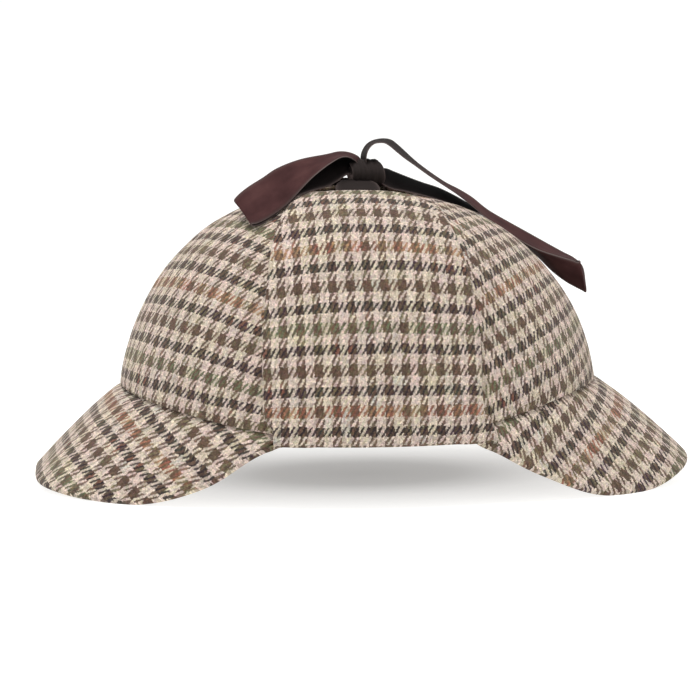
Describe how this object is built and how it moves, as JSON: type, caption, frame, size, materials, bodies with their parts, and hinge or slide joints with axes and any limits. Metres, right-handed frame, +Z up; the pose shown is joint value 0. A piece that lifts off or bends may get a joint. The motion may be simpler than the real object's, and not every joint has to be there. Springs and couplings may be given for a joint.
{
  "type": "deerstalker hat",
  "caption": "Checked tweed cap with a gored crown, a brim at the front and at the back, and ear flaps folded up and tied on top with a ribbon bow.",
  "frame": {"origin": "middle of the hat's footprint, on the surface it stands on", "axes": "+X towards the front of the hat, +Y towards the wearer's left, +Z up out of the crown"},
  "size_m": [0.2837, 0.1766, 0.1465],
  "materials": {
    "tweed": "matt woven wool with a toothed check of dark brown, mid brown, rust and olive on cream",
    "ribbon": "dark brown satin with a soft sheen"
  },
  "bodies": {
    "root": {"crown_gore_front_left": "tweed", "crown_gore_side_left": "tweed", "crown_gore_back_left": "tweed", "crown_gore_back_right": "tweed", "crown_gore_side_right": "tweed", "crown_gore_front_right": "tweed", "brim_front": "tweed", "brim_back": "tweed", "ear_flap_left": "tweed", "ear_flap_right": "tweed", "ribbon_tie_left": "ribbon", "ribbon_tie_right": "ribbon", "bow_knot": "ribbon", "bow_loop_front": "ribbon", "bow_loop_back": "ribbon", "bow_tail_front": "ribbon", "bow_tail_back": "ribbon"}
  },
  "joints": []
}
